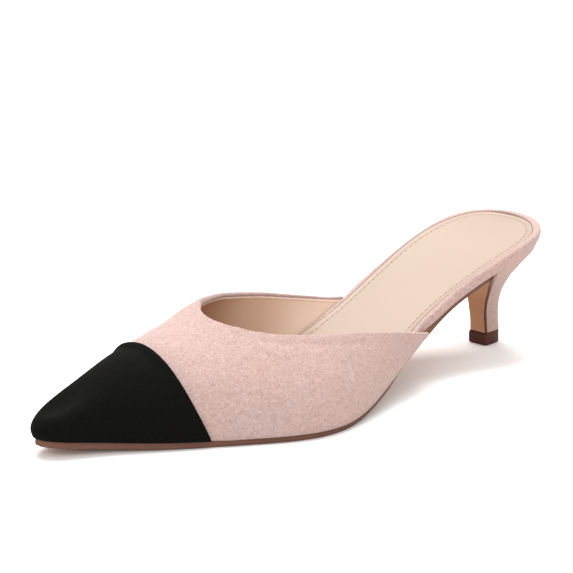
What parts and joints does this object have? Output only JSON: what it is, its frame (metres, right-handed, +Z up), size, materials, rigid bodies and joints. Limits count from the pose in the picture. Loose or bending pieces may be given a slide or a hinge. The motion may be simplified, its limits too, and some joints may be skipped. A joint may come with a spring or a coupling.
{
  "type": "heeled mule",
  "caption": "Left mule with a pointed suede upper, dark toe cap, open back, thin sole and a low covered kitten heel.",
  "frame": {"origin": "centre of the bounding box in plan, on the floor plane that the heel tip and the tread stand on", "axes": "+X from the heel to the toe, +Y to the outer side of the left foot, +Z up"},
  "size_m": [0.2528, 0.0876, 0.0537],
  "materials": {
    "outsole": "matt, dark edge",
    "insole": "short-nap suede cover",
    "sock": "smooth, low sheen",
    "upper": "short-nap suede",
    "toe_cap": "short-nap suede",
    "heel": "short-nap suede cover",
    "top_piece": "satin"
  },
  "bodies": {
    "root": {"outsole": "outsole", "insole": "insole", "sock": "sock", "upper": "upper", "toe_cap": "toe_cap", "heel": "heel", "top_piece": "top_piece"}
  },
  "joints": []
}
